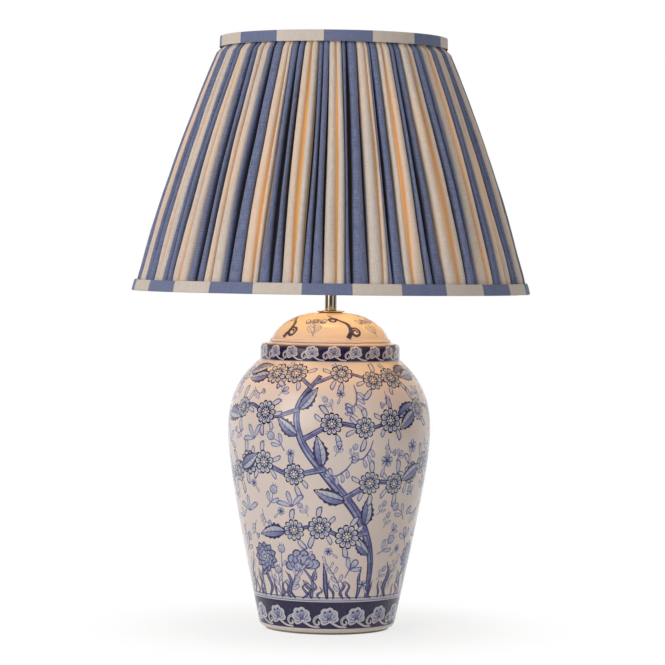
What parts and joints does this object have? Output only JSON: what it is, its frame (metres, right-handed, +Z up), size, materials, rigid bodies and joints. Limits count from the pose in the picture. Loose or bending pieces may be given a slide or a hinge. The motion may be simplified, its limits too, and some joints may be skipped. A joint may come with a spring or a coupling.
{
  "type": "table lamp",
  "caption": "Ginger jar table lamp: blue and white glazed jar with domed lid, short metal stem, and a gathered striped empire shade.",
  "frame": {"origin": "centre of the felt foot's underside, on the surface that the lamp stands on", "axes": "+Z up, -Y the front, +Y the back with the cord gland, +X to the right seen from the front"},
  "size_m": [0.452, 0.452, 0.67],
  "materials": {
    "felt": "matt wool felt",
    "jar_glaze": "glossy clear glaze over blue painting",
    "lid_glaze": "glossy clear glaze over blue painting",
    "black_rubber": "matt",
    "zinc_steel": "bright zinc",
    "satin_nickel": "satin nickel",
    "holder_plastic": "moulded, off-white",
    "holder_ceramic": "unglazed",
    "contact_brass": "bright",
    "bulb_black_glass": "opaque black glass",
    "bulb_cap_metal": "nickel plated",
    "bulb_collar_plastic": "moulded white",
    "opal_glass": "opal, lit warm white",
    "white_wire": "white powder coat",
    "lining_cloth": "plain pale lining",
    "striped_cloth": "woven blue and cream stripes",
    "binding_cloth": "woven blue and cream stripes"
  },
  "bodies": {
    "base": {"base_pad": "felt", "jar_body": "jar_glaze", "jar_lid": "lid_glaze", "rubber_clamp_washer": "black_rubber", "steel_clamp_washer": "zinc_steel", "rod_nut": "zinc_steel", "threaded_rod": "zinc_steel", "vase_cap_gasket": "black_rubber", "vase_cap": "satin_nickel", "stem_tube": "satin_nickel", "cord_gland": "black_rubber", "lampholder_cap": "satin_nickel", "rod_lock_screw": "zinc_steel", "lampholder_body": "holder_plastic", "contact_block": "holder_ceramic", "screw_shell": "contact_brass", "centre_contact": "contact_brass", "side_contact": "contact_brass", "terminal_screws": "contact_brass", "shade_clamp_ring": "holder_plastic", "bulb_tip": "contact_brass", "bulb_insulator": "bulb_black_glass", "bulb_cap": "bulb_cap_metal", "bulb_collar": "bulb_collar_plastic", "bulb_globe": "opal_glass"},
    "shade": {"bottom_ring_wire": "white_wire", "top_ring_wire": "white_wire", "strut_1": "white_wire", "strut_2": "white_wire", "strut_3": "white_wire", "strut_4": "white_wire", "strut_5": "white_wire", "strut_6": "white_wire", "strut_7": "white_wire", "strut_8": "white_wire", "fitter_ring": "white_wire", "fitter_arm_1": "white_wire", "fitter_arm_2": "white_wire", "fitter_arm_3": "white_wire", "shade_lining": "lining_cloth", "pleated_cloth": "striped_cloth", "bottom_binding": "binding_cloth", "top_binding": "binding_cloth"},
    "switch_bar": {"switch_bar": "holder_plastic"}
  },
  "joints": [
    {"name": "shade_turn", "type": "hinge", "parent": "base", "child": "shade", "pos_m": [0, 0, 0.4331], "axis": [0, 0, 1], "continuous": true},
    {"name": "switch_push", "type": "slide", "parent": "base", "child": "switch_bar", "axis": [1, 0, 0], "range_m": [0, 0.006]}
  ]
}
